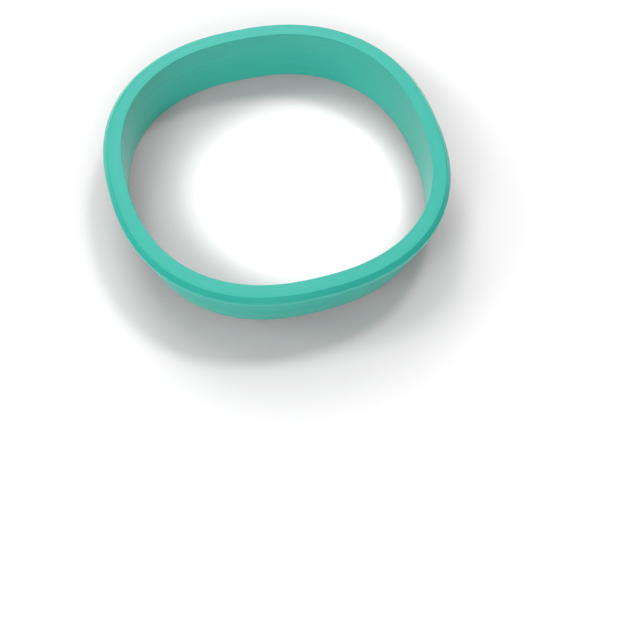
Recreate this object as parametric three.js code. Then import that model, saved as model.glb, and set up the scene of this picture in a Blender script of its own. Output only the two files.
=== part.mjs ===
// Rounded-square cookie cutter, printed in one colour of plastic: a broad chamfered rim to press on, a thin
// drafted wall below it, and a cutting edge that tapers to a narrow foot. Millimetres, +Z up, with the origin
// at the centre of the cut outline, on the plane of the foot.
import * as THREE from "three";
import { mergeVertices } from "three/addons/utils/BufferGeometryUtils.js";

// The cut outline, which is the inner face at every height
const cutWidth = 101.6; // left to right
const cutDepth = 101.6; // front to back
const cutSquareness = 2.34; // exponent of the outline: 2 is an ellipse, larger is squarer

// Heights
const cutterHeight = 21.0; // foot to the top of the rim
const rimThickness = 3.0;
const edgeHeight = 4.0; // the tapered cutting edge, above the foot

// Widths, each measured outwards from the inner face
const rimWidth = 6.2;
const rimChamfer = 1.5; // on the rim's upper outer edge, at 45 degrees
const wallThickness = 1.8; // under the rim
const edgeThickness = 1.4; // where the wall ends and the cutting edge begins
const footThickness = 1.0; // flat land that meets the board

// Length of one facet along the outline
const facetLength = 2.8;

const rimUnderside = cutterHeight - rimThickness;
const chamferFoot = cutterHeight - rimChamfer;
const rimTopWidth = rimWidth - rimChamfer;

// A closed superellipse, |x / a|^n + |y / b|^n = 1, walked anticlockwise by polar angle.
class CutOutline extends THREE.Curve {
  constructor(width, depth, squareness) {
    super();
    this.halfWidth = width / 2;
    this.halfDepth = depth / 2;
    this.squareness = squareness;
  }

  getPoint(t, target = new THREE.Vector3()) {
    const angle = 2 * Math.PI * t;
    const across = Math.abs(Math.cos(angle) / this.halfWidth) ** this.squareness;
    const along = Math.abs(Math.sin(angle) / this.halfDepth) ** this.squareness;
    const reach = (across + along) ** (-1 / this.squareness);
    return target.set(reach * Math.cos(angle), reach * Math.sin(angle), 0);
  }

  // The gradient of the equation points straight out of the outline, so the tangent is square to it.
  getTangent(t, target = new THREE.Vector3()) {
    const point = this.getPoint(t);
    const power = this.squareness - 1;
    const outX = (Math.sign(point.x) * Math.abs(point.x / this.halfWidth) ** power) / this.halfWidth;
    const outY = (Math.sign(point.y) * Math.abs(point.y / this.halfDepth) ** power) / this.halfDepth;
    return target.set(-outY, outX, 0).normalize();
  }
}

const outline = new CutOutline(cutWidth, cutDepth, cutSquareness);

// A whole number of facets in each quarter keeps the ring alike on all four sides.
const quarterFacets = Math.ceil(outline.getLength() / 4 / facetLength);

// Sweeps a section round the outline. Its corners are [distance out from the inner face, height], and the
// sweep's own axes run down and inwards. The path closes on itself, so the two end caps are left out.
function sweptRing(corners) {
  const section = new THREE.Shape(corners.map(([out, height]) => new THREE.Vector2(-height, -out)));
  const sweep = new THREE.ExtrudeGeometry(section, {
    extrudePath: outline,
    steps: 4 * quarterFacets,
    bevelEnabled: false,
  });
  const sides = sweep.groups.find((group) => group.materialIndex === 1);
  const sidePositions = sweep.getAttribute("position").array.slice(
    3 * sides.start,
    3 * (sides.start + sides.count),
  );
  const ring = new THREE.BufferGeometry();
  ring.setAttribute("position", new THREE.BufferAttribute(sidePositions, 3));
  const closedRing = mergeVertices(ring);
  closedRing.computeVertexNormals();
  return closedRing;
}

// Satin teal plastic
function printedPlastic() {
  return new THREE.MeshStandardMaterial({ color: 0x45bba6, roughness: 0.45, metalness: 0 });
}

function namedRing(name, corners) {
  const mesh = new THREE.Mesh(sweptRing(corners), printedPlastic());
  mesh.name = name;
  return mesh;
}

// Flat top, chamfered outer edge and a short upright side; its underside overhangs the wall.
const gripRim = namedRing("grip_rim", [
  [0, rimUnderside],
  [rimWidth, rimUnderside],
  [rimWidth, chamferFoot],
  [rimTopWidth, cutterHeight],
  [0, cutterHeight],
]);

// Upright inside and drafted outside, from the rim's underside down to the cutting edge.
const cutterWall = namedRing("cutter_wall", [
  [0, edgeHeight],
  [edgeThickness, edgeHeight],
  [wallThickness, rimUnderside],
  [0, rimUnderside],
]);

// The lowest stretch, where the draft steepens so that the foot parts the dough.
const cuttingEdge = namedRing("cutting_edge", [
  [0, 0],
  [footThickness, 0],
  [edgeThickness, edgeHeight],
  [0, edgeHeight],
]);

const cookieCutter = new THREE.Group();
cookieCutter.name = "cookie_cutter";
cookieCutter.add(gripRim, cutterWall, cuttingEdge);

export default cookieCutter;
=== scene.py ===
import math

import bmesh
import bpy
from mathutils import Matrix, Vector


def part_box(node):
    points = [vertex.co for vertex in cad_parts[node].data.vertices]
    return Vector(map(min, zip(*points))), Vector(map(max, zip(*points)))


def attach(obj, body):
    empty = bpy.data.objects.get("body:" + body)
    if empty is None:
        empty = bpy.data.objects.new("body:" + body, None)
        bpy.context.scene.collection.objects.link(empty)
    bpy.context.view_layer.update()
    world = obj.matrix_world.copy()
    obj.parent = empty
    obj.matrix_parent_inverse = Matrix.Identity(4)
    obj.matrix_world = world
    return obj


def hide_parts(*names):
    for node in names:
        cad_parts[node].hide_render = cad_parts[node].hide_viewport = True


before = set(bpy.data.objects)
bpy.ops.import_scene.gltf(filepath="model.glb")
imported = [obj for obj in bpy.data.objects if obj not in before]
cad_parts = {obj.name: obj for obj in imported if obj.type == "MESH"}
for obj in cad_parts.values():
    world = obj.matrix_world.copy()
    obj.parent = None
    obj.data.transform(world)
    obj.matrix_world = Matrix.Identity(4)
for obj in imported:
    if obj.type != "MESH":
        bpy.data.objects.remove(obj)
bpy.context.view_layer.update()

rimLow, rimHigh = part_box("grip_rim")
wallLow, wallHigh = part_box("cutter_wall")
edgeLow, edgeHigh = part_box("cutting_edge")
print("frame loaded:", ", ".join(sorted(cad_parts)))


# The cut outline is a superellipse, the same at every height
outlineSettings = {
    "squareness": 2.34,  # exponent: 2 is an ellipse, larger is squarer
    "rimWidth": 0.0062,  # inner face to the rim's outer side
    "segments": 480,  # points round the ring
    "levelNormal": 0.9,  # a face that points up or down by more than this counts as level
    "roundingSteps": 3,
    "sharpAngle": 40,  # degrees; an edge that turns by more stays crisp
}
halfWidth = rimHigh.x - outlineSettings["rimWidth"]
halfDepth = rimHigh.y - outlineSettings["rimWidth"]


# A point some way out from the inner face, square to the outline
def outlinePoint(angle, out, height):
    power = outlineSettings["squareness"]
    across = abs(math.cos(angle) / halfWidth) ** power
    along = abs(math.sin(angle) / halfDepth) ** power
    reach = (across + along) ** (-1 / power)
    x = reach * math.cos(angle)
    y = reach * math.sin(angle)
    outX = math.copysign(abs(x / halfWidth) ** (power - 1) / halfWidth, x)
    outY = math.copysign(abs(y / halfDepth) ** (power - 1) / halfDepth, y)
    return Vector((x, y, height)) + out * Vector((outX, outY, 0)).normalized()


# One circle for each corner of the section, extruded from the last, then bridged to close the section.
# corners are (distance out, height); rounded lists the corners that get a small round edge.
# passHeight runs across the printer's passes: up the walls, and outwards on level faces.
def sweptRing(name, corners, rounded, rounding):
    bm = bmesh.new()
    passHeight = bm.loops.layers.float.new("passHeight")
    outward = {}
    bmesh.ops.create_circle(bm, cap_ends=False, radius=1, segments=outlineSettings["segments"])
    loops = [bm.edges[:]]
    for _ in corners[1:]:
        made = bmesh.ops.extrude_edge_only(bm, edges=loops[-1])["geom"]
        fresh = {item for item in made if isinstance(item, bmesh.types.BMVert)}
        edges = [item for item in made if isinstance(item, bmesh.types.BMEdge)]
        loops.append([edge for edge in edges if fresh.issuperset(edge.verts)])
    for loop, (out, height) in zip(loops, corners):
        for vert in {vert for edge in loop for vert in edge.verts}:
            vert.co = outlinePoint(math.atan2(vert.co.y, vert.co.x), out, height)
            outward[vert] = out
    bmesh.ops.bridge_loops(bm, edges=loops[0] + loops[-1])
    bm.normal_update()
    for face in bm.faces:
        level = abs(face.normal.z) > outlineSettings["levelNormal"]
        for corner in face.loops:
            corner[passHeight] = outward[corner.vert] if level else corner.vert.co.z
    sharp = [edge for index in rounded for edge in loops[index]]
    bmesh.ops.bevel(
        bm,
        geom=sharp,
        offset=rounding,
        segments=outlineSettings["roundingSteps"],
        profile=0.5,
        affect="EDGES",
        material=-1,
    )
    bmesh.ops.recalc_face_normals(bm, faces=bm.faces)
    mesh = bpy.data.meshes.new(name)
    bm.to_mesh(mesh)
    bm.free()
    mesh.shade_smooth()
    mesh.set_sharp_from_angle(angle=math.radians(outlineSettings["sharpAngle"]))
    piece = bpy.data.objects.new(name, mesh)
    bpy.context.scene.collection.objects.link(piece)
    flatFaces = piece.modifiers.new("flatFaces", "WEIGHTED_NORMAL")
    flatFaces.keep_sharp = True
    return piece


# Adds a node with its settings and links; a number as a name is the input's place
def addNode(tree, kind, settings=None, links=None):
    node = tree.nodes.new(kind)
    for name, value in (settings or {}).items():
        if isinstance(name, int) or name in node.inputs:
            node.inputs[name].default_value = value
        else:
            setattr(node, name, value)
    for name, socket in (links or {}).items():
        tree.links.new(socket, node.inputs[name])
    return node


# A Mix node repeats its names for each kind of value, so its inputs and outputs go by their places
mixFactor, fromNumber, toNumber, fromColour, toColour = 0, 2, 3, 6, 7
mixedNumber, mixedColour = 0, 2

white = (1.0, 1.0, 1.0, 1.0)


# An sRGB hex colour as Blender's linear one
def linearColour(hexCode):
    channels = [int(hexCode[place:place + 2], 16) / 255 for place in (1, 3, 5)]
    linear = [c / 12.92 if c <= 0.04045 else ((c + 0.055) / 1.055) ** 2.4 for c in channels]
    return (*linear, 1.0)


# Printed PLA: melted thread laid in passes, which gives a satin teal with faint lines along every face. The
# lines are bumps, and their grooves are also darkened with painted shade.
plaSettings = {
    "colour": "#3dc1b0",
    "grooveShadeAndStreakColour": "#37b6a5",  # painted shade where two passes meet, and the duller tone of the random streaks
    "grooveShadeShare": 0.25,  # how far the painted shade in the grooves turns to that colour
    "grooveShadeBand": (0.5, 0.0),  # heights of the wave between which the painted groove shade begins and is full
    "streakShare": 0.35,
    "streakBand": (0.35, 0.65),  # levels of the noise between which a streak begins and is full
    "streakDetail": 2.0,
    "passSpacing": 0.0010,  # real passes are 0.2 to 0.4 mm, too fine to show, so they are drawn this coarse
    "passDepth": 0.000006,
    "passWander": 0.8,  # how far a line strays, in radians of its wave
    "wanderScale": 0.2,  # low, so that a line strays slowly
    "streakLength": 0.018,
    "streakHeight": 0.0014,
    "grainSize": 0.0004,
    "grainDepth": 0.000002,
    "grainDetail": 2.0,
    "dullPatch": 0.004,  # size of the patches where the gloss changes
    "patchBand": (0.3, 0.7),  # levels of the noise that stand for smooth and dull
    "patchDetail": 3.0,
    "roughness": (0.22, 0.27),  # smooth and dull
    "ior": 1.48,
}


def printedPla():
    material = bpy.data.materials.new("printedTealPla")
    material.use_nodes = True
    tree = material.node_tree
    place = addNode(tree, "ShaderNodeTexCoord").outputs["Object"]
    split = addNode(tree, "ShaderNodeSeparateXYZ", links={"Vector": place})
    passHeight = addNode(tree, "ShaderNodeAttribute", {"attribute_name": "passHeight"})
    laid = addNode(tree, "ShaderNodeCombineXYZ", links={
        "X": split.outputs["X"],
        "Y": split.outputs["Y"],
        "Z": passHeight.outputs["Fac"],
    })
    lines = addNode(tree, "ShaderNodeTexWave", {
        "bands_direction": "Z",
        "Scale": math.pi / 10 / plaSettings["passSpacing"],  # one wave is pi / 10 at scale 1
        "Distortion": plaSettings["passWander"],
        "Detail Scale": plaSettings["wanderScale"],
    }, {"Vector": laid.outputs["Vector"]})
    stretched = addNode(tree, "ShaderNodeMapping", {
        "vector_type": "POINT",
        "Scale": (
            1 / plaSettings["streakLength"],
            1 / plaSettings["streakLength"],
            1 / plaSettings["streakHeight"],
        ),
    }, {"Vector": laid.outputs["Vector"]})
    streaks = addNode(
        tree,
        "ShaderNodeTexNoise",
        {"Scale": 1.0, "Detail": plaSettings["streakDetail"]},
        {"Vector": stretched.outputs["Vector"]},
    )
    grain = addNode(
        tree,
        "ShaderNodeTexNoise",
        {"Scale": 1 / plaSettings["grainSize"], "Detail": plaSettings["grainDetail"]},
        {"Vector": place},
    )
    patches = addNode(
        tree,
        "ShaderNodeTexNoise",
        {"Scale": 1 / plaSettings["dullPatch"], "Detail": plaSettings["patchDetail"]},
        {"Vector": place},
    )
    # painted shade along the grooves between passes
    grooveShadeStart, grooveShadeFull = plaSettings["grooveShadeBand"]
    grooveShade = addNode(
        tree,
        "ShaderNodeMapRange",
        {"From Min": grooveShadeStart, "From Max": grooveShadeFull, "To Max": plaSettings["grooveShadeShare"]},
        {"Value": lines.outputs["Fac"]},
    )
    streakStart, streakFull = plaSettings["streakBand"]
    dulled = addNode(
        tree,
        "ShaderNodeMapRange",
        {"From Min": streakStart, "From Max": streakFull, "To Max": plaSettings["streakShare"]},
        {"Value": streaks.outputs["Fac"]},
    )
    # painted groove shade and random duller streaks together
    shade = addNode(
        tree,
        "ShaderNodeMath",
        {"operation": "ADD", "use_clamp": True},
        {0: grooveShade.outputs["Result"], 1: dulled.outputs["Result"]},
    )
    colour = addNode(
        tree,
        "ShaderNodeMix",
        {
            "data_type": "RGBA",
            fromColour: linearColour(plaSettings["colour"]),
            toColour: linearColour(plaSettings["grooveShadeAndStreakColour"]),
        },
        {mixFactor: shade.outputs["Value"]},
    )
    smooth, dull = plaSettings["roughness"]
    smoothLevel, dullLevel = plaSettings["patchBand"]
    gloss = addNode(
        tree,
        "ShaderNodeMapRange",
        {"From Min": smoothLevel, "From Max": dullLevel, "To Min": smooth, "To Max": dull},
        {"Value": patches.outputs["Fac"]},
    )
    grainBump = addNode(
        tree,
        "ShaderNodeBump",
        {"Distance": plaSettings["grainDepth"]},
        {"Height": grain.outputs["Fac"]},
    )
    lineBump = addNode(
        tree,
        "ShaderNodeBump",
        {"Distance": plaSettings["passDepth"]},
        {"Height": lines.outputs["Fac"], "Normal": grainBump.outputs["Normal"]},
    )
    shader = tree.nodes["Principled BSDF"]
    shader.inputs["IOR"].default_value = plaSettings["ior"]
    tree.links.new(colour.outputs[mixedColour], shader.inputs["Base Color"])
    tree.links.new(gloss.outputs["Result"], shader.inputs["Roughness"])
    tree.links.new(lineBump.outputs["Normal"], shader.inputs["Normal"])
    return material


tealPla = printedPla()
print("material made:", tealPla.name)


# The broad rim that the hand presses on: flat top, chamfered outer edge, short upright side
gripRimSettings = {
    "chamfer": 0.0015,
    "edgeRounding": 0.00025,
}


def gripRim():
    width = outlineSettings["rimWidth"]
    chamfer = gripRimSettings["chamfer"]
    corners = [
        (0, rimLow.z),
        (width, rimLow.z),
        (width, rimHigh.z - chamfer),
        (width - chamfer, rimHigh.z),
        (0, rimHigh.z),
    ]
    return sweptRing("gripRim", corners, [1, 2, 3, 4], gripRimSettings["edgeRounding"])


# The thin wall under the rim: upright inside, drafted outside
def cutterWall():
    topThickness = wallHigh.x - halfWidth
    footThickness = edgeHigh.x - halfWidth
    corners = [
        (0, wallLow.z),
        (footThickness, wallLow.z),
        (topThickness, wallHigh.z),
        (0, wallHigh.z),
    ]
    return sweptRing("cutterWall", corners, [], 0)


# The lowest stretch, tapered to the foot that parts the dough
cuttingEdgeSettings = {
    "footThickness": 0.001,
    "edgeRounding": 0.0002,
}


def cuttingEdge():
    corners = [
        (0, edgeLow.z),
        (cuttingEdgeSettings["footThickness"], edgeLow.z),
        (edgeHigh.x - halfWidth, edgeHigh.z),
        (0, edgeHigh.z),
    ]
    return sweptRing("cuttingEdge", corners, [0, 1], cuttingEdgeSettings["edgeRounding"])


for piece, node in (
    (gripRim(), "grip_rim"),
    (cutterWall(), "cutter_wall"),
    (cuttingEdge(), "cutting_edge"),
):
    piece.data.materials.append(tealPla)
    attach(piece, "root")
    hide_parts(node)
    print("piece made:", piece.name, len(piece.data.polygons), "faces")


# A wide pale floor under the cutting foot
floorSettings = {
    "size": 6.0,
    "colour": "#fcfcfc",
    "roughness": 0.9,
    "glow": 0.10,  # what the camera and the gloss see on top of the light, so that the open floor is white
    "ringGlow": 0.7,  # painted light: the glow for the camera alone inside the ring, where the walls keep light out
    "ringMiddle": (0.008, -0.004, 0.0),
    "ringStart": 0.022,  # that glow fades between these two distances from ringMiddle
    "ringEnd": 0.048,
    "farGlow": 1.0,  # the same again far out, where the lamps reach less
    "farStart": 0.2,  # that glow grows between these two distances from ringMiddle
    "farEnd": 0.8,
    "shade": "#8e304d",  # painted shade close to the walls, for the camera alone; tinted against the teal that they throw on the floor
    "shadeReach": 0.05,
}


def paleFloor():
    bm = bmesh.new()
    bmesh.ops.create_grid(bm, x_segments=1, y_segments=1, size=floorSettings["size"] / 2)
    mesh = bpy.data.meshes.new("paleFloor")
    bm.to_mesh(mesh)
    bm.free()
    floor = bpy.data.objects.new("paleFloor", mesh)
    bpy.context.scene.collection.objects.link(floor)
    material = bpy.data.materials.new("mattPaper")
    material.use_nodes = True
    tree = material.node_tree
    shader = tree.nodes["Principled BSDF"]
    shader.inputs["Roughness"].default_value = floorSettings["roughness"]
    shader.inputs["Specular IOR Level"].default_value = 0.0
    shader.inputs["Emission Color"].default_value = white
    rays = addNode(tree, "ShaderNodeLightPath")
    # the floor's colour turns to the shade where the walls are near: painted shade, seen by the camera alone
    openness = addNode(tree, "ShaderNodeAmbientOcclusion", {"Distance": floorSettings["shadeReach"]})
    seenOpenness = addNode(
        tree,
        "ShaderNodeMix",
        {"data_type": "FLOAT", fromNumber: 1.0},
        {mixFactor: rays.outputs["Is Camera Ray"], toNumber: openness.outputs["AO"]},
    )
    colour = addNode(
        tree,
        "ShaderNodeMix",
        {
            "data_type": "RGBA",
            fromColour: linearColour(floorSettings["shade"]),
            toColour: linearColour(floorSettings["colour"]),
        },
        {mixFactor: seenOpenness.outputs[mixedNumber]},
    )
    tree.links.new(colour.outputs[mixedColour], shader.inputs["Base Color"])
    place = addNode(tree, "ShaderNodeTexCoord").outputs["Object"]
    distance = addNode(
        tree,
        "ShaderNodeVectorMath",
        {"operation": "DISTANCE", 1: floorSettings["ringMiddle"]},
        {0: place},
    )
    # painted light that lifts the shade inside the ring
    ringGlow = addNode(
        tree,
        "ShaderNodeMapRange",
        {
            "interpolation_type": "SMOOTHSTEP",
            "From Min": floorSettings["ringStart"],
            "From Max": floorSettings["ringEnd"],
            "To Min": floorSettings["ringGlow"],
            "To Max": floorSettings["glow"],
        },
        {"Value": distance.outputs["Value"]},
    )
    seenGlow = addNode(
        tree,
        "ShaderNodeMapRange",
        {
            "From Min": floorSettings["farStart"],
            "From Max": floorSettings["farEnd"],
            "To Max": floorSettings["farGlow"],
        },
        {"Value": distance.outputs["Value"], "To Min": ringGlow.outputs["Result"]},
    )
    glossGlow = addNode(
        tree,
        "ShaderNodeMath",
        {"operation": "MULTIPLY", 1: floorSettings["glow"]},
        {0: rays.outputs["Is Glossy Ray"]},
    )
    glow = addNode(
        tree,
        "ShaderNodeMix",
        {"data_type": "FLOAT"},
        {
            mixFactor: rays.outputs["Is Camera Ray"],
            fromNumber: glossGlow.outputs["Value"],
            toNumber: seenGlow.outputs["Result"],
        },
    )
    tree.links.new(glow.outputs[mixedNumber], shader.inputs["Emission Strength"])
    floor.data.materials.append(material)


paleFloor()
print("floor laid")


# Soft boxes round the cutter. bearing is in degrees anticlockwise from +X and height in degrees above the
# floor. spread is how wide the box looks from the cutter, level is how near to white it lights a facing
# surface, and shine is whether the gloss shows it. None overlaps boxBack in the sky, because that would
# strengthen its sheen.
softBoxes = {
    "keyRight": {"bearing": 42, "height": 56, "spread": 12, "level": 0.31, "shine": False},
    "boxBack": {"bearing": 75, "height": 53, "spread": 20, "level": 0.08, "shine": True},
    "highLeft": {"bearing": 110, "height": 56, "spread": 15, "level": 0.12, "shine": False},
    "lowBack": {"bearing": 90, "height": 33, "spread": 25, "level": 0.37, "shine": False},
    "lowLeft": {"bearing": 160, "height": 30, "spread": 20, "level": 0.20, "shine": False},
    "boxLeft": {"bearing": 210, "height": 42, "spread": 20, "level": 0.19, "shine": False},
    "fillFront": {"bearing": 260, "height": 30, "spread": 30, "level": 0.34, "shine": False},
}
studioSettings = {
    "distance": 2.5,  # soft boxes to the cutter
    "backdrop": 1.0,  # the world as the camera sees it: 1 is white
    "ambient": 0.05,  # the world as it lights the cutter and the floor
}


def studioLight():
    distance = studioSettings["distance"]
    for name, box in softBoxes.items():
        lamp = bpy.data.lights.new(name, "AREA")
        lamp.shape = "DISK"
        lamp.size = 2 * distance * math.tan(math.radians(box["spread"] / 2))
        lamp.energy = box["level"] * (math.pi * distance) ** 2  # a disc of 1 W gives 1 / (pi * distance) ** 2
        holder = bpy.data.objects.new(name, lamp)
        bearing = math.radians(box["bearing"])
        height = math.radians(box["height"])
        towards = Vector((
            math.cos(bearing) * math.cos(height),
            math.sin(bearing) * math.cos(height),
            math.sin(height),
        ))
        holder.location = distance * towards
        holder.rotation_euler = towards.to_track_quat("Z", "Y").to_euler()
        holder.visible_glossy = box["shine"]
        bpy.context.scene.collection.objects.link(holder)
    world = bpy.data.worlds.new("whiteStudio")
    world.use_nodes = True
    tree = world.node_tree
    rays = addNode(tree, "ShaderNodeLightPath")
    strength = addNode(
        tree,
        "ShaderNodeMapRange",
        {"To Min": studioSettings["ambient"], "To Max": studioSettings["backdrop"]},
        {"Value": rays.outputs["Is Camera Ray"]},
    )
    background = tree.nodes["Background"]
    background.inputs["Color"].default_value = white
    tree.links.new(strength.outputs["Result"], background.inputs["Strength"])
    bpy.context.scene.world = world


studioLight()
print("light set:", ", ".join(softBoxes))


# Where the photograph was taken from, in metres in the part's frame
cameraSettings = {
    "place": (-0.05582, -0.20376, 0.29466),
    "lookAt": (-0.00078, -0.05485, 0.0),
    "roll": 3.938,  # degrees
    "lens": 57.388,  # millimetres, as the sensor
    "sensor": 36.0,
    "nearest": 0.01,  # what is closer isn't drawn
}


def photoCamera():
    lens = bpy.data.cameras.new("photoCamera")
    lens.sensor_width = cameraSettings["sensor"]
    lens.lens = cameraSettings["lens"]
    lens.clip_start = cameraSettings["nearest"]
    camera = bpy.data.objects.new("photoCamera", lens)
    place = Vector(cameraSettings["place"])
    towards = Vector(cameraSettings["lookAt"]) - place
    turn = towards.to_track_quat("-Z", "Y").to_matrix().to_4x4()
    roll = Matrix.Rotation(math.radians(cameraSettings["roll"]), 4, "Z")
    camera.matrix_world = Matrix.Translation(place) @ turn @ roll
    bpy.context.scene.collection.objects.link(camera)
    bpy.context.scene.camera = camera


photoCamera()
bpy.context.scene.view_settings.view_transform = "Standard"
print("camera placed")
